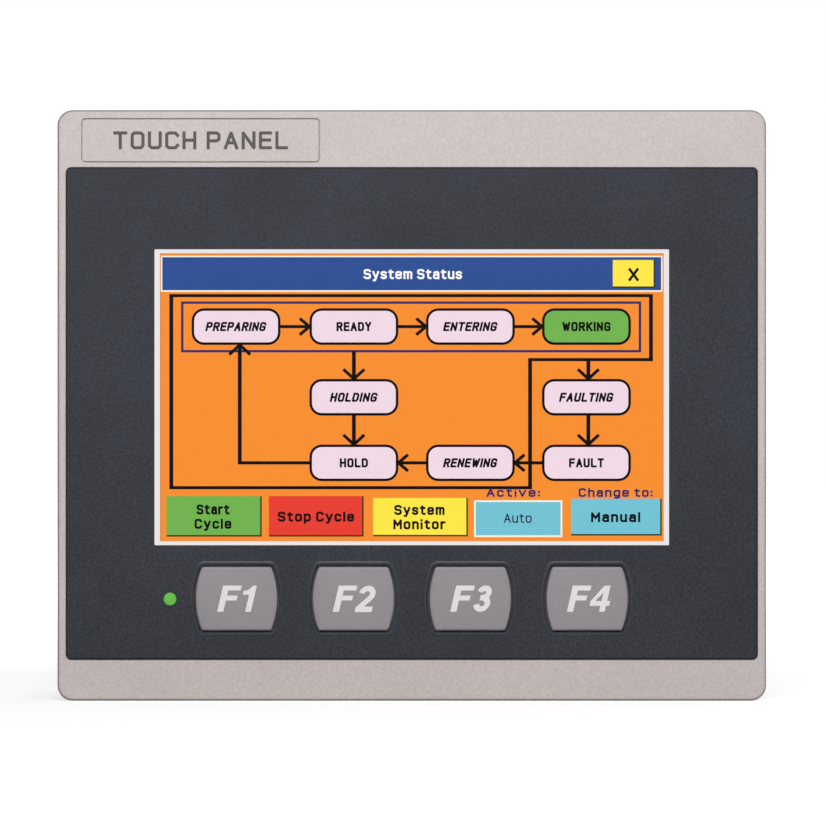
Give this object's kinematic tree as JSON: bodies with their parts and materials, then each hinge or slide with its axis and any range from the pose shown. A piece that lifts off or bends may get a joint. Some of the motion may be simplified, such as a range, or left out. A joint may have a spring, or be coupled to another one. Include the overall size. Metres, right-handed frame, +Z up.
{
  "type": "panel-mounted touch terminal",
  "caption": "Flat operator terminal with a colour touch screen, function keys and a status light, clamped in a panel cut-out by cam levers.",
  "frame": {"origin": "the middle of the panel cut-out, in the plane where the gasket lies on the panel", "axes": "+X to the right seen from the front, +Y to the rear through the panel, +Z up"},
  "size_m": [0.138, 0.0434, 0.115],
  "materials": {
    "bezel_plastic": "fine moulded grain",
    "overlay_film": "fine printed grain",
    "touch_glass": "clear, hard coated",
    "foam": "closed cell foam",
    "steel_sheet": "bright sheet",
    "lcd_cell": "polarised cell",
    "backlight": "white diffuser",
    "plate_aluminium": "satin sheet",
    "zinc_screw": "zinc plated",
    "gasket_rubber": "soft matt seal",
    "light_green": "lit green",
    "board_green": "solder mask",
    "switch_black": "moulded",
    "ribbon_film": "amber film",
    "socket_cream": "moulded",
    "key_plastic": "satin",
    "brass_spacer": "turned",
    "chip_black": "moulded epoxy",
    "can_aluminium": "drawn can",
    "cell_steel": "polished cell",
    "header_black": "moulded",
    "tin_pins": "tin plated",
    "gold_contacts": "gold flash",
    "plug_green": "moulded",
    "shield_steel": "nickel plated shield",
    "tongue_white": "moulded",
    "housing_plastic": "spark-eroded grain",
    "label_film": "blank label film",
    "lever_plastic": "glass-filled nylon",
    "ink_dark": "printed ink",
    "ink_white": "printed ink",
    "screen_orange": "lit picture",
    "screen_white": "lit picture",
    "screen_blue": "lit picture",
    "screen_green": "lit picture",
    "screen_red": "lit picture",
    "screen_yellow": "lit picture",
    "screen_cyan": "lit picture",
    "screen_pink": "lit picture",
    "screen_black": "dark picture"
  },
  "bodies": {
    "root": {"front_bezel": "bezel_plastic", "nameplate": "bezel_plastic", "front_overlay": "overlay_film", "touch_screen": "touch_glass", "touch_seal": "foam", "lcd_frame": "steel_sheet", "lcd_glass": "lcd_cell", "lcd_backlight": "backlight", "chassis_plate": "plate_aluminium", "inner_screws": "zinc_screw", "panel_gasket": "gasket_rubber", "status_light_pipe": "light_green", "keypad_board": "board_green", "tact_switches": "switch_black", "status_led": "light_green", "display_ribbon": "ribbon_film", "touch_ribbon": "ribbon_film", "keypad_ribbon": "ribbon_film", "ribbon_connectors": "socket_cream", "main_board": "board_green", "board_standoffs": "brass_spacer", "processor_chip": "chip_black", "memory_chips": "chip_black", "power_inductor": "chip_black", "capacitors": "can_aluminium", "battery_holder": "switch_black", "coin_battery": "cell_steel", "power_header": "header_black", "header_pins": "tin_pins", "ethernet_jack": "shield_steel", "ethernet_contacts": "gold_contacts", "serial_port_shell": "header_black", "serial_port_insert": "header_black", "serial_header": "header_black", "usb_host_shell": "shield_steel", "usb_host_insert": "tongue_white", "usb_device_shell": "shield_steel", "usb_device_insert": "tongue_white", "card_slot": "shield_steel", "rear_housing": "housing_plastic", "housing_screws": "zinc_screw", "rating_label": "label_film"},
    "f1_key": {"key_f1": "key_plastic", "switch_plunger_1": "switch_black"},
    "f2_key": {"key_f2": "key_plastic", "switch_plunger_2": "switch_black"},
    "f3_key": {"key_f3": "key_plastic", "switch_plunger_3": "switch_black"},
    "f4_key": {"key_f4": "key_plastic", "switch_plunger_4": "switch_black"},
    "plug": {"power_plug": "plug_green", "terminal_cages": "tin_pins"},
    "clamp_screw_1": {"terminal_screw_1": "zinc_screw"},
    "clamp_screw_2": {"terminal_screw_2": "zinc_screw"},
    "clamp_screw_3": {"terminal_screw_3": "zinc_screw"},
    "lever_right_top_arm": {"lever_right_top": "lever_plastic"},
    "lever_right_bottom_arm": {"lever_right_bottom": "lever_plastic"},
    "lever_left_top_arm": {"lever_left_top": "lever_plastic"},
    "lever_left_bottom_arm": {"lever_left_bottom": "lever_plastic"}
  },
  "joints": [
    {"name": "press_f1", "type": "slide", "parent": "root", "child": "f1_key", "axis": [0, 1, 0], "range_m": [0, 0.0006], "stiffness_N_per_m": 3500, "springref_m": -0.00015},
    {"name": "press_f2", "type": "slide", "parent": "root", "child": "f2_key", "axis": [0, 1, 0], "range_m": [0, 0.0006], "stiffness_N_per_m": 3500, "springref_m": -0.00015},
    {"name": "press_f3", "type": "slide", "parent": "root", "child": "f3_key", "axis": [0, 1, 0], "range_m": [0, 0.0006], "stiffness_N_per_m": 3500, "springref_m": -0.00015},
    {"name": "press_f4", "type": "slide", "parent": "root", "child": "f4_key", "axis": [0, 1, 0], "range_m": [0, 0.0006], "stiffness_N_per_m": 3500, "springref_m": -0.00015},
    {"name": "unplug_power", "type": "slide", "parent": "root", "child": "plug", "axis": [0, 0, -1], "range_m": [0, 0.013]},
    {"name": "turn_clamp_screw_1", "type": "hinge", "parent": "plug", "child": "clamp_screw_1", "pos_m": [-0.03908, 0.02, -0.052], "axis": [0, 1, 0], "continuous": true},
    {"name": "turn_clamp_screw_2", "type": "hinge", "parent": "plug", "child": "clamp_screw_2", "pos_m": [-0.034, 0.02, -0.052], "axis": [0, 1, 0], "continuous": true},
    {"name": "turn_clamp_screw_3", "type": "hinge", "parent": "plug", "child": "clamp_screw_3", "pos_m": [-0.02892, 0.02, -0.052], "axis": [0, 1, 0], "continuous": true},
    {"name": "clamp_right_top", "type": "hinge", "parent": "root", "child": "lever_right_top_arm", "pos_m": [0.0587, 0.0135, 0.026], "axis": [1, 0, 0], "range_deg": [-35, 90]},
    {"name": "clamp_right_bottom", "type": "hinge", "parent": "root", "child": "lever_right_bottom_arm", "pos_m": [0.0587, 0.0135, -0.026], "axis": [-1, 0, 0], "range_deg": [-35, 90]},
    {"name": "clamp_left_top", "type": "hinge", "parent": "root", "child": "lever_left_top_arm", "pos_m": [-0.0587, 0.0135, 0.026], "axis": [1, 0, 0], "range_deg": [-35, 90]},
    {"name": "clamp_left_bottom", "type": "hinge", "parent": "root", "child": "lever_left_bottom_arm", "pos_m": [-0.0587, 0.0135, -0.026], "axis": [-1, 0, 0], "range_deg": [-35, 90]}
  ]
}
